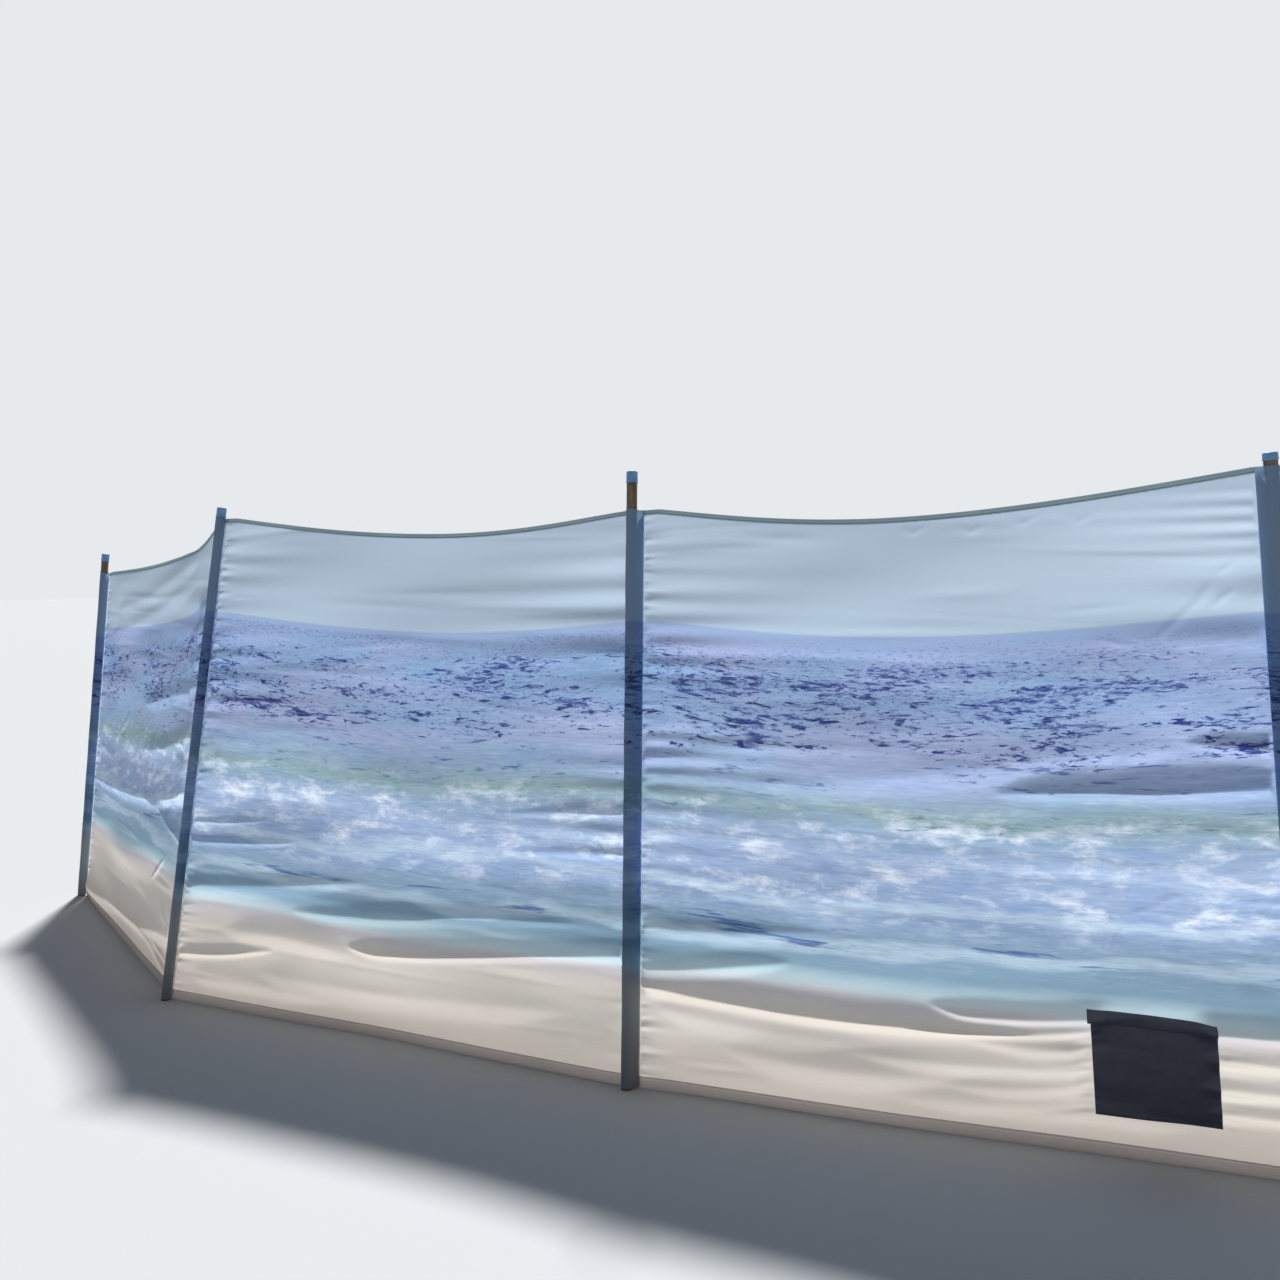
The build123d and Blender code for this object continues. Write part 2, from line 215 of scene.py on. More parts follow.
# Groups of soft ripples that run out from a seam: bay, end (0 left, 1 right), from and to height,
# pitch and depth in millimetres and reach in metres
SEAM_RIPPLES = [
    (0, 1, 0.20, 1.30, 95, 5.0, 0.30),
    (1, 0, 0.60, 1.38, 62, 3.2, 0.24),
    (1, 1, 0.90, 1.34, 88, 5.0, 0.38),
    (1, 1, 0.30, 0.90, 56, 3.8, 0.22),
    (2, 0, 0.92, 1.34, 56, 3.4, 0.30),
    (2, 0, 0.42, 0.90, 46, 3.6, 0.24),
    (2, 1, 0.46, 0.66, 31, 3.2, 0.13),
    (2, 1, 1.00, 1.36, 72, 4.2, 0.24),
    (2, 1, 1.20, 1.40, 33, 2.6, 0.20),
    (3, 0, 0.40, 1.34, 66, 3.8, 0.26),
    (3, 1, 0.50, 1.30, 62, 3.4, 0.24),
    (4, 0, 0.30, 1.32, 90, 4.4, 0.32),
    (4, 1, 0.20, 1.20, 66, 3.2, 0.20),
]

# Long creases round a sleeve, as shares of its height and their slopes
SLEEVE_RINGS = ((0.22, 0.10), (0.74, -0.16), (1.06, 0.12))

WAVE_PERIOD = 0.314  # of the wave texture at scale 1

# The stage: the camera's place in metres, its turn, tip and roll in degrees, and the light
CAMERA_PLACE = (1.116, -2.755, 1.224)
CAMERA_ANGLES = (21.2, -3.06, -0.69)
CAMERA_LENS = 36  # as wide as its sensor, so 1280 pixels of focal length across 1280 pixels
CAMERA_SIGHT = 200  # metres
SUN_DIRECTION = (-0.16, 0.50, 0.85)
SUN_DISTANCE = 8  # only for its handle; a sun's light doesn't depend on it
SUN_STRENGTH = 5.95
SUN_WIDTH = 6  # degrees, which makes the shadow's edge soft
SUN_TINT = (1.0, 0.985, 0.955)
SKY_STRENGTH = 0.20
FLOOR_HALF = 60.0  # metres


def linear(code):
    """An sRGB hex colour as linear red, green, blue and alpha."""
    channels = [int(code[place:place + 2], 16) / 255 for place in (1, 3, 5)]
    return (*(c / 12.92 if c <= 0.04045 else ((c + 0.055) / 1.055) ** 2.4 for c in channels), 1.0)


def length_setting(name, description, default, low, high):
    """A length that a user can change, in millimetres here."""
    return FloatProperty(name=name, description=description, default=default * MM, min=low * MM,
                         max=high * MM, unit="LENGTH")


def colour_setting(name, description, code):
    """A colour that a user can change."""
    return FloatVectorProperty(name=name, description=description, default=linear(code), size=4,
                               subtype="COLOR")


class WindbreakClothSizes(bpy.types.PropertyGroup):
    """Sizes of the cloth and its sewing."""

    row_pitch: length_setting("Row pitch", "Height of a row of the cloth's mesh", 4.2, 2, 20)
    seam_step: length_setting("Seam step", "Width of a mesh column beside a seam", 3.6, 1, 20)
    middle_step: length_setting("Middle step", "Width of a mesh column in a bay's middle", 9.5, 2, 40)
    fold_depth: FloatProperty(name="Fold depth", description="Depth of the folds, as a share of the real ones",
                              default=1.0, min=0, max=2, subtype="FACTOR")
    pucker_pitch: length_setting("Pucker pitch", "Distance between the puckers along a seam", 15, 5, 60)
    pucker_depth: length_setting("Pucker depth", "Depth of a pucker beside a seam", 5.0, 0, 8)
    weave_pitch: length_setting("Weave pitch", "Distance between the threads that are drawn", 1.4, 0.2, 5)
    tape_thickness: length_setting("Tape thickness", "Binding across the cloth", 2.4, 1, 4)
    hem_thickness: length_setting("Hem thickness", "Turned-up hem across the cloth", 1.8, 1, 4)


class WindbreakColours(bpy.types.PropertyGroup):
    """Colours of the print, tape, wood and plastic."""

    pearl: colour_setting("Pearl", "Top band of the print", "#a0b1c3")
    lilac: colour_setting("Lilac", "Second band of the print", "#899dc1")
    ink: colour_setting("Ink", "Brushed dashes of the print", "#27336f")
    sage: colour_setting("Sage", "Third band of the print", "#859d9c")
    mist: colour_setting("Mist", "Pale strokes of the fourth band", "#9fb2d2")
    turquoise: colour_setting("Turquoise", "Fifth band of the print", "#7a96aa")
    sand: colour_setting("Sand", "Bottom band of the print", "#c5beb7")
    tape: colour_setting("Tape", "Binding tape along the top", "#98b1bd")
    wood: colour_setting("Wood", "Poles", "#54463b")
    cap: colour_setting("Cap", "Plastic pole caps", "#6694c2")
    patch: colour_setting("Patch", "Coated patch", "#323748")


def unit(vectors):
    """Vectors of the same directions and length 1."""
    return vectors / np.linalg.norm(vectors, axis=-1, keepdims=True)


def smoothstep(x):
    """0 up to 0, 1 from 1 on, and a smooth rise between them."""
    x = np.clip(x, 0, 1)
    return x * x * (3 - 2 * x)


def between(x, low, high, fade, fade_out=None):
    """1 well between low and high, falling softly to 0 at them."""
    return smoothstep((x - low) / fade) * smoothstep((high - x) / (fade_out or fade))


def bump(off, width=1.0):
    """A soft round bump, 1 in its middle."""
    return np.exp(-(off / width) ** 2)


def smooth_line(points, at):
    """A smooth curve through points, read at the given places, and straight past its ends."""
    x, y = np.array(points, float).T
    slope = np.gradient(y, x)
    k = np.clip(np.searchsorted(x, at) - 1, 0, len(x) - 2)
    step = x[k + 1] - x[k]
    u = np.clip((at - x[k]) / step, 0, 1)
    inside = ((2 * u ** 3 - 3 * u ** 2 + 1) * y[k] + (u ** 3 - 2 * u ** 2 + u) * step * slope[k]
              + (3 * u ** 2 - 2 * u ** 3) * y[k + 1] + (u ** 3 - u ** 2) * step * slope[k + 1])
    past = np.where(at > x[-1], (at - x[-1]) * slope[-1], np.where(at < x[0], (at - x[0]) * slope[0], 0))
    return inside + past


def cloth_before(pole):
    """The length of all the bays on the left of a pole."""
    return sum(((FEET[bay + 1] - FEET[bay]).length for bay in range(pole)), 0.0)


def heading(bay):
    """The way a bay runs, as an angle about Z."""
    way = FEET[bay + 1] - FEET[bay]
    return math.atan2(way.y, way.x)


def pole_axes(pole):
    """Directions along the cloth, to the sheltered side and up the pole, at one pole."""
    up = Vector((math.tan(math.radians(LEANS_ALONG[pole])), math.tan(math.radians(LEANS_BACK[pole])), 1))
    up.normalize()
    beside = [heading(bay) for bay in (pole - 1, pole) if bay in BAYS]
    turn = sum(beside) / len(beside)
    along = Vector((math.cos(turn), math.sin(turn), 0))
    along = (along - up * along.dot(up)).normalized()
    return along, up.cross(along), up


def seam_place(pole):
    """The seam, along from the pole's centre line."""
    side = -1 if pole == POLES[-1] else 1
    return side * (SLEEVE_REACH if side == SLACK_SIDES[pole] else SEAM_BESIDE_POLE)


def seam_ends(pole):
    """The seam's lowest and highest points."""
    along, back, up = pole_axes(pole)
    start = FEET[pole] + along * seam_place(pole) + back * CLOTH_BACK
    return start + up * ((GROUND_GAP - start.z) / up.z), start + up * (CLOTH_TOPS[pole] * MM)


class BayCloth:
    """The surface that one bay's cloth, hem, tape and patch all lie on."""

    def __init__(self, bay, sizes):
        self.bay = bay
        self.sizes = sizes
        (self.bottom_left, self.top_left), (self.bottom_right, self.top_right) = map(seam_ends, (bay, bay + 1))
        self.width = (self.bottom_right - self.bottom_left).length
        self.from_pole = seam_place(bay)
        self.random = np.random.default_rng(BAY_SEED + bay)
        self.waves = self.make_waves()
        self.drag_lines = self.make_drag_lines()
        self.puckers = [self.make_puckers(1.0), self.make_puckers(0.75)]

    def make_waves(self, steepness=0.005):
        """Long soft unevenness, mostly level, as (wave numbers, phase, depth)."""
        found = []
        for _ in range(SOFT_WAVES):
            tall = self.random.uniform(0.10, 0.45)
            wide = self.random.uniform(0.6, 2.4) * self.random.choice((-1, 1))
            depth = steepness * tall * self.random.uniform(0.4, 1.0)
            found.append((2 * math.pi / wide, 2 * math.pi / tall, self.random.uniform(0, 2 * math.pi), depth))
        return found

    def make_drag_lines(self):
        """Long faint wrinkles of the pull between the poles, as (place, height, slope, half length,
        half width, depth)."""
        found = []
        for _ in range(DRAG_LINES):
            half = self.random.uniform(5, 14) * MM
            found.append((self.random.uniform(0, self.width), self.random.uniform(0.05, 1.38),
                          self.random.normal(0, 0.035), self.random.uniform(0.05, 0.30), half,
                          half * self.random.uniform(0.07, 0.24) * self.random.choice((-1, 1))))
        return found

    def make_puckers(self, strength):
        """Small gathers along a seam, as (height, half width, reach, slope, depth)."""
        found = []
        height = 12 * MM
        while height < CLOTH_HEIGHT:
            depth = self.sizes.pucker_depth * strength * self.random.uniform(0.25, 1.0)
            found.append((height, self.random.uniform(3.2, 5.2) * MM, self.random.uniform(9, 46) * MM,
                          self.random.uniform(-0.12, 0.12), depth * self.random.choice((-1, 1, 1))))
            height += self.sizes.pucker_pitch * self.random.uniform(0.55, 1.45)
        return found

    def columns(self, fine=None, beside_seam=0.03, change=0.15):
        """Places across the bay, closer together beside the seams."""
        beside, middle = (fine, fine) if fine else (self.sizes.seam_step, self.sizes.middle_step)
        places = [0.0]
        while places[-1] < self.width:
            edge = min(places[-1], self.width - places[-1])
            coarse = float(smoothstep((edge - beside_seam) / change))
            places.append(places[-1] + beside + (middle - beside) * coarse)
        return np.array(places) * (self.width / places[-1])

    def base(self, s):
        """For places across the bay: bottom points, up and back directions and the cloth's height."""
        t = (s / self.width)[..., None]
        bottom = np.array(self.bottom_left) * (1 - t) + np.array(self.bottom_right) * t
        top = np.array(self.top_left) * (1 - t) + np.array(self.top_right) * t
        up = unit(top - bottom)
        across = np.array(pole_axes(self.bay)[1]) * (1 - t) + np.array(pole_axes(self.bay + 1)[1]) * t
        back = unit(np.cross(up, np.cross(across, up)))
        t = t[..., 0]
        lowest = LOWEST_POINTS[self.bay]
        rise = np.minimum((t - HELD_SHARE) / (lowest - HELD_SHARE),
                          (1 - HELD_SHARE - t) / (1 - HELD_SHARE - lowest))
        droop = TOP_SAGS[self.bay] * MM * np.sin(math.pi / 2 * np.clip(rise, 0, 1))
        return bottom, up, back, np.linalg.norm(top - bottom, axis=-1) - droop

    def fold(self, s, z, edge, depth, softness, fade_in, fade_out, above=None, below=None):
        """A level fold: the cloth comes out to the windward side and turns back under a sharp lower edge.
        Where it dies out it closes to a point."""
        place = s + self.from_pole
        first, last = edge[0][0], edge[-1][0]
        if softness < CRISP_FOLD:
            begun, left = np.clip((place - first) / fade_in, 0, 1), np.clip((last - place) / fade_out, 0, 1)
            shown = (begun * (2 - begun) * left * (2 - left)) ** 0.75
        else:
            shown = between(place, first, last, fade_in, fade_out)
        out = depth * MM * shown * self.sizes.fold_depth
        over = z - smooth_line(edge, place)
        edge_radius = (1.6 + 12 * softness ** 2) * MM  # 1.6 mm on the crispest fold
        near = np.sqrt(over ** 2 + edge_radius ** 2) - edge_radius
        rise, fall = above or FOLD_RISE * depth, below or FOLD_RETURN * depth
        reach = np.where(over > 0, rise, fall) * MM * (0.1 + 0.9 * shown)
        bend = np.where(over > 0, 0.06 + 0.6 * softness, 0.35)
        part = 1 - near / reach
        return -out * 0.5 * (part + np.sqrt(part ** 2 + bend ** 2)) / (0.5 + 0.5 * np.sqrt(1 + bend ** 2))

    def wrinkle(self, s, z, start, end, half, height):
        """A single sharp wrinkle between two points."""
        way = np.array(end) - start
        long = np.hypot(*way)
        along, beside = way / long
        x, y = s + self.from_pole - start[0], z - start[1]
        far, off = x * along + y * beside, y * along - x * beside
        shown = np.clip(4 * far / long * (1 - far / long), 0, 1)
        return -height * MM * shown * bump(off, half * MM * (0.4 + 0.6 * shown))

    def seam_puckers(self, s, z, puckers, start=2.5 * MM, spread=60 * MM):
        """Gathers beside a seam, s being the distance from it. They start a little off it and grow wider."""
        out = np.zeros(np.broadcast(s, z).shape)
        start = 1 - np.exp(-np.maximum(s, 0) / start)
        grown = 1 + s / spread
        for height, half, reach, slope, depth in puckers:
            beside = np.exp(-np.maximum(s, 0) / reach)
            out += depth * start * beside * bump(z - height - slope * s, half * grown)
        return out

    def ripples(self, s, z, low, high, pitch, depth, reach, seed):
        """Soft level ripples that start at a seam and die out."""
        phase = np.random.default_rng(seed).uniform(0, 2 * math.pi, 3)
        wave = np.sin(2 * math.pi * z / (pitch * MM) + phase[0] + 1.3 * np.sin(9 * z + phase[1]) + 2.0 * s)
        uneven = 0.7 + 0.3 * np.sin(14 * z + phase[2])
        return (depth * MM * wave * uneven * between(z, low, high, RIPPLE_FADE) * bump(s, reach)
                * smoothstep(s / 0.02))

    def offset(self, s, z, height):
        """How far the cloth lies behind the straight sheet, in metres; less than nothing is to windward."""
        s, z = np.broadcast_arrays(s, z)
        right = self.width - s
        out = np.zeros(s.shape)
        for wave_s, wave_z, phase, depth in self.waves:
            out += depth * np.sin(wave_s * s + wave_z * z + phase)
        for place, level, slope, long, half, depth in self.drag_lines:
            far = s - place
            out += depth * bump(far, long) * bump(z - level - slope * far, half)
        out *= between(s, 0, self.width, SEAM_HOLD)
        out += BAY_BELLY * np.sin(math.pi * s / self.width) * np.sin(math.pi * z / CLOTH_HEIGHT) ** 2
        for fold in FOLDS[self.bay]:
            out += self.fold(s, z, *fold)
        for bay, *line in WRINKLES:
            if bay == self.bay:
                out += self.wrinkle(s, z, *line)
        for bay, end, far, half, depth, low, high in SEAM_ROLLS:
            if bay == self.bay:
                out -= depth * MM * bump((right if end else s) - far, half) * between(z, low, high, ROLL_FADE)
        for number, (bay, end, *group) in enumerate(SEAM_RIPPLES):
            if bay == self.bay:
                out += self.ripples(right if end else s, z, *group, number)
        if self.bay == PATCH["bay"]:
            out = self.around_patch(s, z, out)
        out *= between(s, 0, self.width, SEAM_FADE)
        out += self.seam_puckers(s, z, self.puckers[0])
        out += self.seam_puckers(right, z, self.puckers[1])
        out += self.sewn_edges(s, z, height)
        return self.behind_sleeve(right, out)

    def around_patch(self, s, z, out, flattened=0.85, beside=0.05, under=0.03, over=0.10):
        """The patch holds the cloth flat, and a little way round it, and its side seams gather it."""
        place = s + self.from_pole
        left, right = PATCH["start"], PATCH["start"] + PATCH["width"]
        low, high = PATCH["bottom"], PATCH["bottom"] + PATCH["height"]
        inside = between(place, left, right, beside) * between(z, low, high + over, under, over)
        out = out * (1 - flattened * inside)
        random = np.random.default_rng(PATCH_SEED)
        for side, edge, count in zip((-1, 1), (left, right), PATCH_GATHERS):
            far = np.maximum(side * (place - edge), 0)
            for number in range(count):
                height = low + 0.012 + (high - low - 0.02) * (number + random.uniform(-0.25, 0.25)) / count
                reach = random.uniform(0.04, 0.12)
                slope = 0.22 if side < 0 else random.uniform(-0.05, 0.05)
                depth = random.uniform(1.6, 4.2) * MM
                half = random.uniform(4.0, 6.5) * MM * (1 + far / 0.08)
                shown = np.where(far > 0, (1 - np.exp(-far / 0.004)) * np.exp(-far / reach), 0)
                out = out + depth * shown * bump(z - height + slope * far, half)
        return out

    def sewn_edges(self, s, z, height, pitch=23 * MM, at_tape=0.7 * MM, at_hem=1.0 * MM):
        """Small upright puckers where the tape and the hem are sewn on."""
        phase = self.bay * 1.7
        gather = np.sin(2 * math.pi * s / pitch + 2.2 * np.sin(17 * s + phase) + phase)
        gather *= 0.6 + 0.4 * np.sin(41 * s + phase)
        from_tape = np.maximum(height - BINDING_HEIGHT - z, 0)
        from_hem = np.abs(z - HEM_HEIGHT)
        return gather * (at_tape * np.exp(-from_tape / 0.012) + at_hem * np.exp(-from_hem / 0.014))

    def behind_sleeve(self, right, out, forward=0.9 * MM, steepness=2.5):
        """The sleeve on the bay's right lies over the cloth, which can't come forward there."""
        if self.bay + 1 == POLES[-1]:
            return out
        cover = SLEEVE_REACH + SLEEVE_RADIUS + 3 * MM
        return np.maximum(out, -forward - np.maximum(right - cover, 0) * steepness)

    def bottom_wave(self, s, z, seated=3.4 * MM, fade=0.12):
        """The bottom edge isn't quite straight, and is seated a little in the ground."""
        shape = (0.15 * MM * np.sin(2 * math.pi * s / 0.61 + self.bay)
                 + 0.1 * MM * np.sin(2 * math.pi * s / 0.23))
        return (shape - seated) * np.exp(-z / fade)

    def points(self, s, z, proud=0.0):
        """Points on the cloth, or proud of it towards the sheltered side."""
        bottom, up, back, height = self.base(s)
        out = self.offset(s, z, height) + proud
        return bottom + up * (z + self.bottom_wave(s, z))[..., None] + back * out[..., None]

    def print_place(self, s, z, height, even_top=0.15):
        """Where a point of the cloth is on the print, in metres."""
        left, right = PRINT_LIFTS.get(self.bay, (0, 0))
        lift = (left + (right - left) * s / self.width) * smoothstep((height - z) / even_top)
        return np.stack([cloth_before(self.bay) + s + 0 * z, z / height * CLOTH_HEIGHT - lift], axis=-1)


def add_piece(name, points, faces, places, material):
    """A mesh piece with its print places as a UV map. It rides with the windbreak."""
    mesh = bpy.data.meshes.new(name)
    mesh.from_pydata(points.reshape(-1, 3).tolist(), [], faces)
    layer = mesh.uv_layers.new(name=CLOTH_UV)
    corners = np.zeros(len(mesh.loops), np.int32)
    mesh.loops.foreach_get("vertex_index", corners)
    layer.uv.foreach_set("vector", places.reshape(-1, 2)[corners].astype(np.float32).ravel())
    mesh.shade_smooth()
    mesh.materials.append(material)
    piece = bpy.data.objects.new(name, mesh)
    bpy.context.scene.collection.objects.link(piece)
    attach(piece, "root")
    return piece


def grid_faces(rows, columns, around=False):
    """Four-sided faces of a grid of points, row by row; around joins the last column to the first."""
    faces = []
    for first in range(0, (rows - 1) * columns, columns):
        for column in range(columns if around else columns - 1):
            here, following = first + column, first + (column + 1) % columns
            faces.append((here, following, following + columns, here + columns))
    return faces


def ring_faces(rings, points_each):
    """Faces of rings joined one after the other, closed by a face at each end."""
    faces = grid_faces(rings, points_each, around=True)
    faces.append(tuple(reversed(range(points_each))))
    faces.append(tuple(range((rings - 1) * points_each, rings * points_each)))
    return faces


def add_node(tree, kind, *values, output=None, stops=(), **named):
    """Adds a shader node with its settings and links, and gives one of its outputs, the first if none is named.

    Values go to its inputs in order. A name with a capital letter is an input too, with _ for a space, and any
    other name is a setting. A value can be a socket, which is linked, or an sRGB hex colour. Stops are the
    places and colours of a colour ramp."""
    def as_set(value):
        return linear(value) if isinstance(value, str) else value

    node = tree.nodes.new("ShaderNode" + kind)
    for name in filter(str.islower, list(named)):
        setattr(node, name, named.pop(name))
    inputs = list(zip((socket for socket in node.inputs if socket.enabled), values))
    inputs += [(node.inputs[name.replace("_", " ")], value) for name, value in named.items()]
    for socket, value in inputs:
        if isinstance(value, bpy.types.NodeSocket):
            tree.links.new(value, socket)
        else:
            socket.default_value = as_set(value)
    elements = node.color_ramp.elements if stops else ()
    while len(elements) < len(stops):
        elements.new(0.5)
    for element, (place, colour) in zip(elements, stops):
        element.position = place
        element.color = as_set(colour)
    return next((socket for socket in node.outputs if socket.enabled and output in (None, socket.name)), None)


def blank_material(name):
    """An empty material, and the function that adds nodes to it."""
    material = bpy.data.materials.new(name)
    material.use_nodes = True
    material.node_tree.nodes.clear()
    return material, partial(add_node, material.node_tree)


def overlaid(add, colour, share, strength, tone):
    """A tone laid over a colour where share says, no stronger than strength."""
    return add("Mix", add("Math", share, strength, operation="MULTIPLY"), colour, tone, data_type="RGBA")


def within(add, value, low, low_full, high_full, high):
    """1 between low_full and high_full, falling to 0 at low and high."""
    rise, fall = [add("MapRange", value, none, full, interpolation_type="SMOOTHSTEP")
                  for none, full in ((low, low_full), (high, high_full))]
    return add("Math", rise, fall, operation="MULTIPLY")


def blotches(add, places, size, start=(0, 0, 0), slant=0.0, **look):
    """Ragged marks of a real size in metres. They start somewhere else in each layer, and may slant."""
    drawn = add("Mapping", places, start, (0, 0, slant), [1 / side for side in (*size, 1)][:3])
    return add("TexNoise", drawn, Scale=1.0, **look)


def plain_weave(add, places, pitch):
    """Threads that cross at a real pitch."""
    threads = [add("TexWave", places, WAVE_PERIOD / pitch, bands_direction=way, output="Fac") for way in "XY"]
    return add("Math", *threads, operation="MULTIPLY")


def stitch_row(add, places, level):
    """A row of lockstitches 4 mm long at one height of the print, drawn 1.4 mm thick so that it shows."""
    thread = within(add, add("SeparateXYZ", places, output="Y"),
                    *(level + off * MM for off in (-0.9, -0.5, 0.5, 0.9)))
    beat = add("TexWave", places, WAVE_PERIOD / (4 * MM), output="Fac")
    beat = add("Math", beat, 2.5, operation="MULTIPLY", use_clamp=True)
    return add("Math", thread, beat, operation="MULTIPLY")


def printed_polyester(name, colours, sizes, see_through=0.62, tone="#ffffff", gain=1.0, stitched=None):
    """Thin plain-weave polyester with a dye-sublimated print: matt, a little silky at a low angle,
    and it glows when lit from behind. The print is bands of colour with brushed dashes and strokes."""
    material, add = blank_material(name)
    places = add("UVMap", uv_map=CLOTH_UV)
    height = add("Math", add("SeparateXYZ", places, output="Y"), CLOTH_HEIGHT, operation="DIVIDE")

    # The bands' borders wander more towards the bottom, as washes of dye do
    wander = blotches(add, places, (0.42, 0.12), Detail=4.0, Roughness=0.55)
    much = add("MapRange", height, 0.82, 0.55, 0.0, 0.045)
    shift = add("Math", add("Math", wander, 0.5, operation="SUBTRACT"), much, operation="MULTIPLY")
    band = add("Math", height, shift, operation="ADD")
    colour = add("ValToRGB", band, stops=[
        (0.0, "#a8a099"), (0.06, "#b8b1aa"), (0.12, "#c5bfb8"), (0.165, colours.sand), (0.197, "#b4b1b6"),
        (0.206, "#b7c0c6"), (0.218, "#a9bfc9"), (0.245, colours.turquoise), (0.30, "#8098ae"),
        (0.345, "#8ba1c1"), (0.43, colours.mist), (0.475, "#8fa5be"), (0.505, colours.sage),
        (0.545, "#8aa0b9"), (0.60, "#92a6c6"), (0.68, colours.lilac), (0.76, "#8a9fc3"), (0.795, "#899dc0"),
        (0.8028, "#8d9dbc"), (0.8042, colours.pearl), (0.90, "#a3b3c3"), (1.0, "#9eaebf"),
    ])

    def dyed(colour, pattern, faint, full, borders, strength, dye):
        """A dye over the print where the pattern goes from faint to full, inside the borders of its band."""
        share = add("Math", add("MapRange", pattern, faint, full), within(add, band, *borders),
                    operation="MULTIPLY")
        return overlaid(add, colour, share, strength, dye)

    # Cloudy unevenness of the dye, 60 to 200 mm across
    cloud = blotches(add, places, (0.14, 0.060), Detail=8.0, Roughness=0.68, Distortion=0.2)
    colour = dyed(colour, cloud, 0.50, 0.67, (0.30, 0.37, 0.47, 0.55), 0.95, "#dbe3f1")
    colour = dyed(colour, cloud, 0.47, 0.30, (0.30, 0.37, 0.47, 0.55), 0.6, "#7d98c6")

    # Long wavy strokes across the fourth and fifth bands, about 110 mm apart
    drawn = add("Mapping", places, Scale=(1 / 0.9, 1 / 0.34, 1))
    strokes = add("TexWave", drawn, Scale=0.95, Distortion=5.5, Detail=3.0, Detail_Scale=1.6,
                  bands_direction="Y", output="Fac")
    colour = dyed(colour, strokes, 0.62, 0.95, (0.21, 0.25, 0.36, 0.46), 0.45, "#bfd2e0")

    # Blue washes in the second band, 200 to 500 mm across, and lilac ones among them
    wash = blotches(add, places, (0.45, 0.16), (0, 3.3, 0), Detail=3.0)
    colour = dyed(colour, wash, 0.42, 0.62, (0.46, 0.60, 0.74, 0.80), 0.8, "#7e9dc0")
    blush = blotches(add, places, (0.55, 0.19), (0, 8.1, 0), Detail=3.0)
    colour = dyed(colour, blush, 0.46, 0.64, (0.49, 0.58, 0.77, 0.80), 0.5, "#a3a6ca")

    # Dry-brush dabs of ink, 13 to 320 mm long, thickest in the middle of the second band. Each row is their
    # length and height, slant, place, rarity, the borders of their band, colour and strength.
    patchy = blotches(add, places, (0.34, 0.06), Detail=3.0)
    sparse = add("MapRange", patchy, 0.62, 0.36, 0.0, 0.11)
    for size, slant, place, rarity, borders, ink, strength in (
            ((0.058, 0.0125), -0.05, 1.3, 0.503, (0.53, 0.62, 0.73, 0.79), colours.ink, 1.0),
            ((0.026, 0.0072), 0.06, 5.1, 0.515, (0.55, 0.62, 0.75, 0.80), "#2f3d80", 0.90),
            ((0.110, 0.0170), -0.08, 9.7, 0.545, (0.48, 0.56, 0.66, 0.74), "#3f4c88", 0.75),
            ((0.080, 0.0130), 0.03, 3.9, 0.550, (0.46, 0.49, 0.53, 0.57), "#4f6a70", 0.70),
            ((0.013, 0.0040), 0.05, 2.2, 0.500, (0.60, 0.68, 0.790, 0.801), "#56689f", 0.60),
            ((0.320, 0.0240), -0.03, 7.7, 0.545, (0.255, 0.285, 0.315, 0.35), "#34508a", 0.80)):
        rarer = add("MapRange", within(add, band, *borders), To_Min=0.35, To_Max=0.0)
        level = add("Math", add("Math", rarer, sparse, operation="ADD"), rarity, operation="ADD")
        marks = blotches(add, places, size, (place, place * 0.7, 0), slant, Detail=5.0, Roughness=0.66,
                         Distortion=0.5)
        dabs = add("Math", marks, level, operation="SUBTRACT")
        dabs = add("Math", dabs, 16.0, operation="MULTIPLY", use_clamp=True)
        colour = overlaid(add, colour, dabs, strength, ink)

    # Fine dry-brush streaks in the middle bands, 3 to 6 mm thick
    streaks = blotches(add, places, (0.060, 0.0075), Detail=4.0, Roughness=0.7)
    colour = dyed(colour, streaks, 0.52, 0.36, (0.21, 0.30, 0.74, 0.80), 0.34, "#6c80a8")
    colour = dyed(colour, streaks, 0.56, 0.72, (0.21, 0.30, 0.74, 0.80), 0.30, "#c8d4e6")

    # Thread by thread unevenness, drawn 2 mm wide so that it shows, and the tone over it all, which on the
    # sleeves' copy is painted shade
    slub = blotches(add, places, (0.05, 0.002), Detail=1.0)
    uneven = add("MapRange", slub, To_Min=0.95 * gain, To_Max=1.05 * gain)
    for shade in (add("CombineColor", uneven, uneven, uneven), tone):
        colour = add("Mix", 1.0, colour, shade, data_type="RGBA", blend_type="MULTIPLY")

    # Plain weave of 0.2 mm threads, drawn several times coarser so that it shows
    weave = plain_weave(add, places, sizes.weave_pitch)
    if stitched:
        row = stitch_row(add, places, stitched)
        colour = overlaid(add, colour, row, 0.6, "#d8d4d0")
        weave = add("Math", weave, add("Math", row, 3.0, operation="MULTIPLY"), operation="ADD")
    relief = add("Bump", Height=weave, Strength=0.18, Distance=0.12 * MM)
    front = add("BsdfPrincipled", Base_Color=colour, Roughness=0.72, IOR=1.5, Specular_IOR_Level=0.28,
                Sheen_Weight=0.12, Sheen_Roughness=0.45, Normal=relief)
    glow = add("BsdfTranslucent", colour, relief)
    add("OutputMaterial", add("MixShader", see_through, front, glow))
    return material


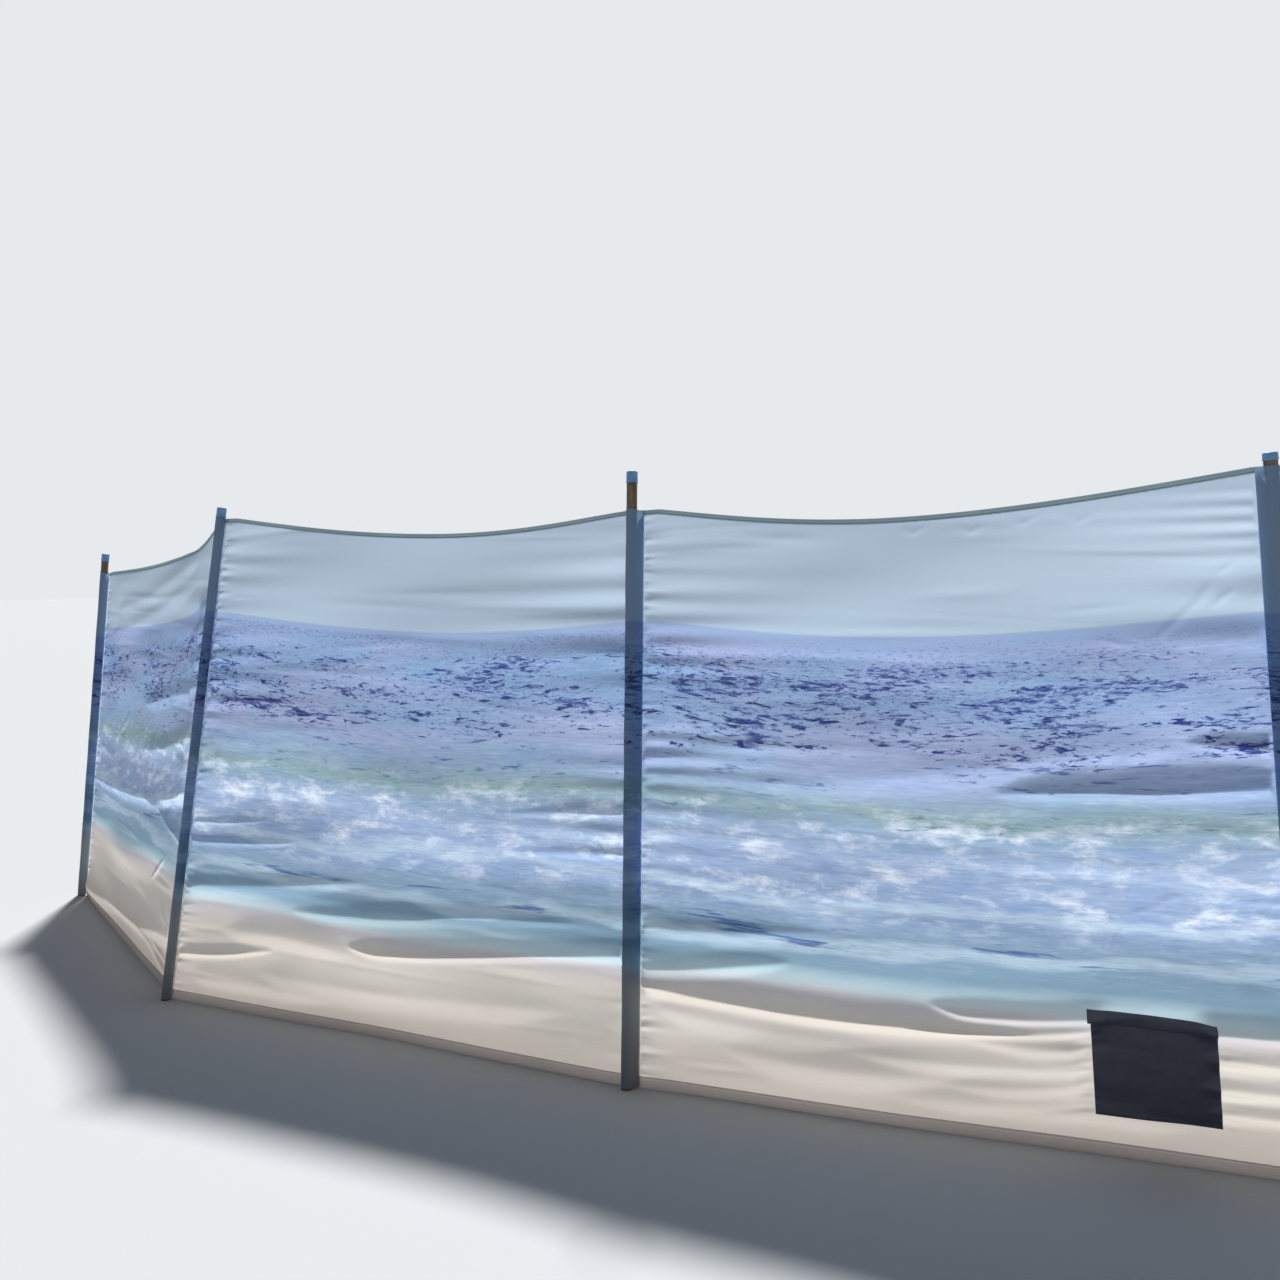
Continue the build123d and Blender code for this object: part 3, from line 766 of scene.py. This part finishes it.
def woven_tape(colours):
    """Woven polyester binding tape: matt, with a fine rib across it, paler along its folded top (painted
    highlight, with some wear) and darker along its lower edge (painted shade).
    """
    material, add = blank_material("woven_polyester_tape")
    places = add("UVMap", uv_map=CLOTH_UV)
    level = add("SeparateXYZ", places, output="Y")
    top, low = CLOTH_HEIGHT, CLOTH_HEIGHT - BINDING_HEIGHT
    ribs = add("TexWave", places, WAVE_PERIOD / (1.1 * MM), output="Fac")
    row = stitch_row(add, places, low + 3.6 * MM)
    fade = add("MapRange", blotches(add, places, (0.12, 0.01), Detail=3.0), 0.4, 0.75, 0.0, 0.5)
    # Paler over the top 4 mm: a painted highlight where the fold catches the sky, with some wear. Darker over
    # the lowest 3.5 mm: painted shade along the tape's lower edge.
    rubbed = add("MapRange", level, top - 4 * MM, top)
    lower_edge_shade = add("MapRange", level, low + 3.5 * MM, low)
    colour = add("Mix", fade, colours.tape, "#bccdd2", data_type="RGBA")
    for share, strength, tone in ((rubbed, 0.55, "#d2dee2"), (lower_edge_shade, 0.75, "#5d7078"), (row, 0.6, "#c9d4d8")):
        colour = overlaid(add, colour, share, strength, tone)
    relief = add("Bump", Height=add("Math", ribs, row, operation="ADD"), Strength=0.35, Distance=0.15 * MM)
    add("OutputMaterial", add("BsdfPrincipled", Base_Color=colour, Roughness=0.8, IOR=1.5,
                              Specular_IOR_Level=0.3, Normal=relief))
    return material


def dark_hardwood(colours):
    """Turned hardwood dowel, stained dark and greyed outdoors: long straight grain, dull, with paler
    rubbed lines."""
    material, add = blank_material("stained_hardwood_dowel")
    places = add("TexCoord", output="Object")
    grain = blotches(add, places, (2.2 * MM, 2.2 * MM, 0.09), Detail=5.0, Roughness=0.62)
    colour = add("ValToRGB", grain, stops=[(0.28, "#33281f"), (0.45, colours.wood), (0.62, "#76614e"),
                                           (0.80, "#8f7d69")])
    weathered = blotches(add, places, (0.012, 0.012, 0.25), Detail=3.0)
    colour = add("Mix", add("MapRange", weathered, 0.45, 0.7, 0.0, 0.55), colour, "#8a7f74", data_type="RGBA")
    relief = add("Bump", Height=grain, Strength=0.4, Distance=0.35 * MM)
    add("OutputMaterial", add("BsdfPrincipled", Base_Color=colour, Roughness=0.62, IOR=1.5,
                              Specular_IOR_Level=0.35, Normal=relief))
    return material


def moulded_polyethylene(colours):
    """Injection-moulded polyethylene cap: soft satin, chalky where the sun has faded it, with fine scuffs."""
    material, add = blank_material("moulded_polyethylene")
    places = add("TexCoord", output="Object")
    chalk = add("TexNoise", places, Scale=1 / 0.018, Detail=4.0)
    colour = add("ValToRGB", chalk, stops=[(0.30, "#5485b5"), (0.5, colours.cap), (0.72, "#8db2d4")])
    scuff = blotches(add, places, (6 * MM, 6 * MM, 0.7 * MM))
    rough = add("MapRange", scuff, 0.3, 0.7, 0.38, 0.55)
    relief = add("Bump", Height=scuff, Strength=0.12, Distance=0.1 * MM)
    add("OutputMaterial", add("BsdfPrincipled", Base_Color=colour, Roughness=rough, IOR=1.5, Normal=relief))
    return material


def coated_polyester(colours):
    """Heavy polyester with a PVC coating: near black, smooth, with a dull shine and a trace of its weave."""
    material, add = blank_material("coated_polyester")
    places = add("UVMap", uv_map=CLOTH_UV)
    dust = blotches(add, places, (0.05, 0.03), Detail=4.0)
    colour = add("ValToRGB", dust, stops=[(0.35, colours.patch), (0.75, "#434757")])
    relief = add("Bump", Height=plain_weave(add, places, 1.6 * MM), Strength=0.3, Distance=0.2 * MM)
    add("OutputMaterial", add("BsdfPrincipled", Base_Color=colour, Roughness=0.5, IOR=1.5, Normal=relief))
    return material


def panel_piece(cloth, material):
    """A bay's cloth, from inside its hem to inside its tape."""
    s = cloth.columns()
    _, _, _, height = cloth.base(s)
    rows = round(CLOTH_HEIGHT / cloth.sizes.row_pitch)
    share = np.linspace(0, 1, rows)[:, None]
    low = HEM_HEIGHT - 1.2 * MM
    z = low + share * (height - low - 2 * MM)
    across = np.broadcast_to(s, z.shape)
    return add_piece(f"cloth_panel_{cloth.bay + 1}", cloth.points(across, z), grid_faces(*z.shape),
                     cloth.print_place(across, z, height), material)


def strip_piece(cloth, name, outline, material, at_top):
    """A thin closed strip along the bay's top or bottom edge; outline is its section, across and up."""
    s = cloth.columns(fine=EDGE_STEP)
    _, _, _, height = cloth.base(s)
    across, up = np.array(outline).T
    z = (height if at_top else 0 * height)[:, None] + up
    s, height = (np.broadcast_to(row[:, None], z.shape) for row in (s, height))
    places = cloth.print_place(s, np.clip(z, 0, height), height)
    return add_piece(name, cloth.points(s, z, across), ring_faces(*z.shape), places, material)


def binding_section(thickness):
    """Tape folded over the edge, sewn down near its lower edges."""
    half, low = thickness / 2, -BINDING_HEIGHT
    side = [(half * 0.86, low), (half, low + 1.2 * MM), (half * 0.72, low + 2.6 * MM), (half, low + 4.2 * MM),
            (half, -2.2 * MM), (half * 0.8, -0.7 * MM), (half * 0.35, 0)]
    return side + [(-across, up) for across, up in reversed(side)]


def hem_section(thickness):
    """Cloth turned up twice, sewn near its upper edge."""
    half, top = thickness / 2, HEM_HEIGHT
    side = [(half * 0.45, 0.0), (half, 1.0 * MM), (half, 12 * MM), (half, top - 5.5 * MM),
            (half * 0.55, top - 3.6 * MM), (half * 0.95, top - 1.8 * MM), (half * 0.7, top)]
    return [(-across, up) for across, up in side] + list(reversed(side))


def loop_outline(slack, round_points=30, side_points=7):
    """Section of a sleeve: round the pole and drawn out to its flat side, from the flat side's edge and back."""
    edge = np.array([slack * (SLEEVE_REACH - 0.6 * MM), SLEEVE_RADIUS + 0.3 * MM])
    toward = math.atan2(edge[1], edge[0])
    opening = math.acos(SLEEVE_RADIUS / math.hypot(*edge))
    angles = np.linspace(toward + opening, toward - opening + 2 * math.pi, round_points)
    round_part = SLEEVE_RADIUS * np.stack([np.cos(angles), np.sin(angles)], axis=1)
    there = np.linspace(0, 1, side_points + 1)[:-1, None]
    return np.concatenate([edge * (1 - there) + round_part[0] * there, round_part,
                           (round_part[-1] * (1 - there) + edge * there)[1:]])


def sleeve_push(pole, x, z, top, flat, gather_pitch, ring_width=3.2 * MM, ring_depth=0.9 * MM):
    """How far a sleeve's cloth stands out: creases on its flat side, long ones round the pole, a slow swell,
    its turned top and the gathers at its seam."""
    random = np.random.default_rng(SLEEVE_SEED + pole)
    push = np.zeros(z.shape)
    for _ in range(SLEEVE_CREASES):
        height, half = random.uniform(0.02, top), random.uniform(3, 11) * MM
        slope = random.uniform(-1.2, 1.2)
        push += random.uniform(-1.4, 1.8) * MM * bump(z - height - slope * x, half) * flat
    for height, slope in SLEEVE_RINGS:
        crease = (z - top * height * random.uniform(0.92, 1.05) - slope * x) / ring_width
        push += ring_depth * (bump(crease) - 0.7 * bump(crease - 1.8))
    push += 0.35 * MM * np.sin(z * 2 * math.pi / 0.19 + 2 * x / SLEEVE_REACH) * (1 - flat)
    push += 0.5 * MM * smoothstep((z - top + 11 * MM) / (1.2 * MM)) * (1 - 0.8 * flat)
    gather = np.sin(2 * math.pi * z / gather_pitch + 2.3 * np.sin(31 * z + pole))
    push += 0.5 * MM * gather * smoothstep((SLACK_SIDES[pole] * x - 17 * MM) / (8 * MM))
    return np.maximum(push, -0.35 * MM * (1 - flat) - 1.2 * MM * flat)


def sleeve_piece(pole, material, sizes):
    """The tuck of cloth that holds a pole: slack on one side, gathered at its seam."""
    slack = SLACK_SIDES[pole]
    outline = loop_outline(slack)
    top = CLOTH_TOPS[pole] * MM
    rows = round(top / EDGE_STEP)
    x, y = outline[None, :, 0], outline[None, :, 1]
    flat = smoothstep((slack * x - 6 * MM) / (14 * MM))  # 0 round the pole, 1 at the flat side's edge
    top_edge = top - 7 * MM * smoothstep((slack * x - 14 * MM) / (11 * MM)) * (slack > 0)
    z = np.linspace(0, 1, rows)[:, None] * top_edge
    held = np.where(outline[:, 1] > 0.9 * SLEEVE_RADIUS, 0.15, 1.0)  # its back lies on the cloth
    push = sleeve_push(pole, x, z, top, flat, sizes.pucker_pitch) * held
    outward = unit(outline - np.array([slack * 3 * MM, 0]))
    x = x + push * outward[None, :, 0]
    y = y + push * outward[None, :, 1]
    along, back, up = (np.array(axis) for axis in pole_axes(pole))
    foot = GROUND_GAP + 1 * MM
    z = np.minimum(z + foot, top_edge)
    z = np.maximum(z, (foot - x * along[2] - y * back[2]) / up[2])
    points = np.array(FEET[pole]) + x[..., None] * along + y[..., None] * back + z[..., None] * up
    run = np.concatenate([[0], np.cumsum(np.linalg.norm(np.diff(outline, axis=0), axis=1))])
    across = cloth_before(pole) + 0.03 + run[None, :]
    places = np.stack(np.broadcast_arrays(across, z / top * CLOTH_HEIGHT), axis=-1)
    piece = add_piece(f"pole_sleeve_{pole + 1}", points, grid_faces(rows, len(outline)), places,
                      material)
    return piece, float(run[-1])


def cap_piece(pole, material, turns=56, bore=13.3):
    """A push-on moulded cup: thick rim, slight draft, rounded shoulder and a shallow dished top with its
    gate mark. The profile is radius and height in millimetres."""
    tall = CAP_HEIGHTS[pole]
    profile = [(0.0, tall - 0.9), (1.0, tall - 0.9), (1.3, tall - 0.5), (1.7, tall - 0.9), (9.0, tall - 0.75),
               (10.6, tall - 0.25), (11.6, tall), (12.5, tall - 0.15), (13.2, tall - 0.65), (13.75, tall - 1.4),
               (13.95, tall - 2.4), (14.1, 4.4), (14.3, 3.7), (14.65, 3.3), (14.75, 2.6), (14.75, 0.7),
               (14.6, 0.15), (14.2, 0.0), (13.6, 0.0), (bore, 0.5), (bore, tall - 2.6), (0.0, tall - 2.6)]
    angles = np.linspace(0, 2 * math.pi, turns, endpoint=False)
    along, back, up = (np.array(axis) for axis in pole_axes(pole))
    rim = (CLOTH_TOPS[pole] + BARE_WOOD[pole]) * MM
    out = np.cos(angles)[:, None] * along + np.sin(angles)[:, None] * back
    rings = np.array([np.array(FEET[pole]) + radius * MM * out + (rim + height * MM) * up
                      for radius, height in profile])
    inner = rings[1:-1]
    faces = grid_faces(len(inner), turns, around=True)
    points = np.concatenate([inner.reshape(-1, 3), rings[0][:1], rings[-1][:1]])
    top, bottom = len(points) - 2, len(points) - 1
    last = (len(inner) - 1) * turns
    for step in range(turns):
        following = (step + 1) % turns
        faces.append((following, step, top))
        faces.append((last + step, last + following, bottom))
    places = np.zeros((len(points), 2))
    return add_piece(f"moulded_cap_{pole + 1}", points, faces, places, material)


def sewn_patch(cloth, material, columns=62, rows=56):
    """The coated patch, turned under and sewn at its sides."""
    across = np.linspace(0, PATCH["width"], columns)[None, :]
    up = np.linspace(0, PATCH["height"], rows)[:, None]
    edge = np.minimum(np.minimum(across, PATCH["width"] - across), up)
    seam = 0.5 * MM * bump(edge - 6 * MM, 1.6 * MM)
    proud = 0.4 * MM + 1.1 * MM * smoothstep(edge / (2.0 * MM)) - seam
    ripple = 0.5 * MM * np.sin(2 * math.pi * up / 0.021 + 3 * np.sin(23 * up)) * np.exp(-edge / 0.012)
    s, z = np.broadcast_arrays(PATCH["start"] - cloth.from_pole + across, PATCH["bottom"] + up)
    front = cloth.points(s, z, -(proud + ripple))
    back = cloth.points(s, z, -0.2 * MM)
    faces = grid_faces(rows, columns)
    size = rows * columns
    faces += [tuple(size + corner for corner in reversed(face)) for face in faces]
    border = ([(0, c) for c in range(columns)] + [(r, columns - 1) for r in range(1, rows)]
              + [(rows - 1, c) for c in range(columns - 2, -1, -1)] + [(r, 0) for r in range(rows - 2, 0, -1)])
    ring = [r * columns + c for r, c in border]
    for here, following in zip(ring, ring[1:] + ring[:1]):
        faces.append((following, here, size + here, size + following))
    places = np.stack([s, z], axis=-1)
    return add_piece("sewn_patch", np.stack([front, back]), faces, np.stack([places, places]),
                     material)


def patch_roll(cloth, material, columns=60, turns=20):
    """The patch's top edge, rolled over."""
    left = PATCH["start"] - cloth.from_pole
    s = np.linspace(left - 6 * MM, left + PATCH["width"] - 1 * MM, columns)[:, None]
    angles = np.linspace(0, 2 * math.pi, turns, endpoint=False)[None, :]
    middle = PATCH["bottom"] + PATCH["height"] - 9 * MM
    z = middle + 14.5 * MM * np.sin(angles) + 0.9 * MM * np.sin(s * 19)
    proud = 2.4 * MM + 1.9 * MM * np.cos(angles) + 0.5 * MM * np.sin(s * 47 + 1)
    s = np.broadcast_to(s, z.shape)
    return add_piece("patch_top_roll", cloth.points(s, z, -proud), ring_faces(*z.shape),
                     np.stack([s, z], axis=-1), material)


class WINDBREAK_OT_poles(bpy.types.Operator):
    """Give the poles their stained hardwood"""

    bl_idname = "windbreak.poles"
    bl_label = "Wooden poles"

    def execute(self, context):
        wood = dark_hardwood(context.scene.windbreak_colours)
        for pole in POLES:
            mesh = frame["nodes"][f"pole_{pole + 1}"].data
            for place in range(len(mesh.materials)):
                mesh.materials[place] = wood
        return {"FINISHED"}


class WINDBREAK_OT_caps(bpy.types.Operator):
    """Make the moulded caps on the pole tops"""

    bl_idname = "windbreak.caps"
    bl_label = "Pole caps"

    def execute(self, context):
        plastic = moulded_polyethylene(context.scene.windbreak_colours)
        for pole in POLES:
            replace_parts(cap_piece(pole, plastic), f"cap_{pole + 1}")
        return {"FINISHED"}


class WINDBREAK_OT_sleeves(bpy.types.Operator):
    """Make the sleeves that the poles stand in"""

    bl_idname = "windbreak.sleeves"
    bl_label = "Pole sleeves"

    def execute(self, context):
        sizes, colours = context.scene.windbreak_sizes, context.scene.windbreak_colours
        # The sleeves get a copy of the print that is tinted darker and bluer all over by its tone and gain:
        # painted shade of the pole inside them and of the blue sky on their front.
        material = printed_polyester("printed_polyester_tuck_painted_shade", colours, sizes, see_through=0.45,
                                     tone="#b6c6d6", gain=1.62)
        for pole in POLES:
            piece, round_it = sleeve_piece(pole, material, sizes)
            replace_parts(piece, f"sleeve_{pole + 1}")
        return {"FINISHED"}


class WINDBREAK_OT_panels(bpy.types.Operator):
    """Make the printed panels with their tape, hems and patch"""

    bl_idname = "windbreak.panels"
    bl_label = "Printed panels"

    def execute(self, context):
        sizes, colours = context.scene.windbreak_sizes, context.scene.windbreak_colours
        material = printed_polyester("printed_polyester", colours, sizes)
        double = printed_polyester("printed_polyester_hem", colours, sizes, tone="#f0f4fc", gain=1.32,
                                   stitched=HEM_HEIGHT - 4.6 * MM)
        tape = woven_tape(colours)
        for bay in BAYS:
            cloth = BayCloth(bay, sizes)
            panel = panel_piece(cloth, material)
            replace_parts(panel, f"cloth_bay_{bay + 1}")
            binding = strip_piece(cloth, f"edge_tape_{bay + 1}", binding_section(sizes.tape_thickness), tape,
                                  at_top=True)
            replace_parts(binding, f"top_binding_{bay + 1}")
            hem = strip_piece(cloth, f"turned_hem_{bay + 1}", hem_section(sizes.hem_thickness), double,
                              at_top=False)
            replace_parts(hem, f"hem_{bay + 1}")
            pieces = [binding, hem]
            if bay == PATCH["bay"]:
                coated = coated_polyester(colours)
                patch = [sewn_patch(cloth, coated), patch_roll(cloth, coated)]
                for piece in patch:
                    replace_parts(piece, "label_patch")
                pieces += patch
        return {"FINISHED"}


class WINDBREAK_OT_stage(bpy.types.Operator):
    """Make the floor, lamps, background and camera"""

    bl_idname = "windbreak.stage"
    bl_label = "Stage"

    def execute(self, context):
        scene = context.scene
        self.add_floor(scene)
        self.add_background(scene)
        self.add_sun(scene)
        self.add_camera(scene)
        scene.view_settings.view_transform = "Standard"
        return {"FINISHED"}

    def add_floor(self, scene):
        material, add = blank_material("pale_floor")
        add("OutputMaterial", add("BsdfPrincipled", Base_Color="#b2b5b8", Roughness=0.9,
                                  Specular_IOR_Level=0.1))
        corners = [(x * FLOOR_HALF, y * FLOOR_HALF, 0) for x, y in ((-1, -1), (1, -1), (1, 1), (-1, 1))]
        mesh = bpy.data.meshes.new("floor")
        mesh.from_pydata(corners, [], [(0, 1, 2, 3)])
        mesh.materials.append(material)
        floor = bpy.data.objects.new("floor", mesh)
        scene.collection.objects.link(floor)

    def add_background(self, scene):
        """A dim sky lights the cloth; the camera, gloss and clear things see a pale background in its place."""
        scene.world = bpy.data.worlds.new("studio")
        scene.world.use_nodes = True
        scene.world.node_tree.nodes.clear()
        add = partial(add_node, scene.world.node_tree)
        seen = add("LightPath", output="Is Camera Ray")
        for ray in ("Is Glossy Ray", "Is Transmission Ray"):
            seen = add("Math", seen, add("LightPath", output=ray), operation="MAXIMUM")
        light = add("Background", "#eef4fd", SKY_STRENGTH)
        background = add("Background", "#e6eaed", 1.0)
        add("OutputWorld", add("MixShader", seen, light, background))

    def add_sun(self, scene):
        lamp = bpy.data.lights.new("soft_sun", "SUN")
        lamp.energy = SUN_STRENGTH
        lamp.angle = math.radians(SUN_WIDTH)
        lamp.color = SUN_TINT
        sun = bpy.data.objects.new("soft_sun", lamp)
        toward_sun = Vector(SUN_DIRECTION)
        sun.rotation_mode = "QUATERNION"
        sun.rotation_quaternion = toward_sun.to_track_quat("Z", "Y")
        sun.location = toward_sun * SUN_DISTANCE
        scene.collection.objects.link(sun)

    def add_camera(self, scene):
        camera = bpy.data.objects.new("camera", bpy.data.cameras.new("camera"))
        camera.data.sensor_width = camera.data.lens = CAMERA_LENS
        camera.data.clip_end = CAMERA_SIGHT
        yaw, pitch, roll = (math.radians(angle) for angle in CAMERA_ANGLES)
        camera.matrix_world = (Matrix.Translation(CAMERA_PLACE) @ Matrix.Rotation(yaw, 4, "Z")
                               @ Matrix.Rotation(math.pi / 2 + pitch, 4, "X") @ Matrix.Rotation(roll, 4, "Z"))
        scene.collection.objects.link(camera)
        scene.camera = camera


class WINDBREAK_PT_panel(bpy.types.Panel):
    """Steps and sizes of the windbreak"""

    bl_idname = "WINDBREAK_PT_panel"
    bl_label = "Beach windbreak"
    bl_space_type = "VIEW_3D"
    bl_region_type = "UI"
    bl_category = "Windbreak"

    def draw(self, context):
        for step in STEPS:
            self.layout.operator(step.bl_idname)
        for group in (context.scene.windbreak_sizes, context.scene.windbreak_colours):
            for name in group.__annotations__:
                self.layout.prop(group, name)


STEPS = (WINDBREAK_OT_stage, WINDBREAK_OT_poles, WINDBREAK_OT_caps, WINDBREAK_OT_sleeves, WINDBREAK_OT_panels)
CLASSES = (WindbreakClothSizes, WindbreakColours, *STEPS, WINDBREAK_PT_panel)


def register():
    for each in CLASSES:
        bpy.utils.register_class(each)
    bpy.types.Scene.windbreak_sizes = PointerProperty(type=WindbreakClothSizes)
    bpy.types.Scene.windbreak_colours = PointerProperty(type=WindbreakColours)


def unregister():
    del bpy.types.Scene.windbreak_colours
    del bpy.types.Scene.windbreak_sizes
    for each in reversed(CLASSES):
        bpy.utils.unregister_class(each)


def main():
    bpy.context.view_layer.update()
    register()
    bpy.ops.windbreak.stage()
    bpy.ops.windbreak.poles()
    bpy.ops.windbreak.caps()
    bpy.ops.windbreak.sleeves()
    bpy.ops.windbreak.panels()
    bpy.context.view_layer.update()


if __name__ == "__main__":
    main()
